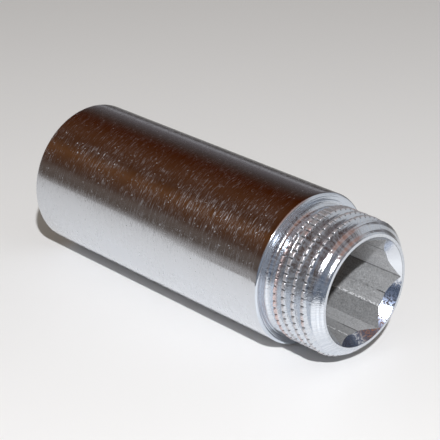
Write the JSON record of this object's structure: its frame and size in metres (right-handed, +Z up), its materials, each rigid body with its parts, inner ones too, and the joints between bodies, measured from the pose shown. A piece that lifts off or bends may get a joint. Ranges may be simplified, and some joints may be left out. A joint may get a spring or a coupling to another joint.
{
  "type": "pipe extension nipple",
  "caption": "Straight chromed brass pipe extension with a male thread, a female thread and a key hexagon inside the male end.",
  "frame": {"origin": "centre of the shoulder face, on the turning axis", "axes": "+X along the turning axis towards the male end, the female end is at -X, +Z up"},
  "size_m": [0.0601, 0.0234, 0.0234],
  "materials": {
    "brass": "turned",
    "chrome": "bright plated over fine turning marks"
  },
  "bodies": {
    "root": {"brass_body": "brass", "chrome_plating": "chrome"}
  },
  "joints": []
}
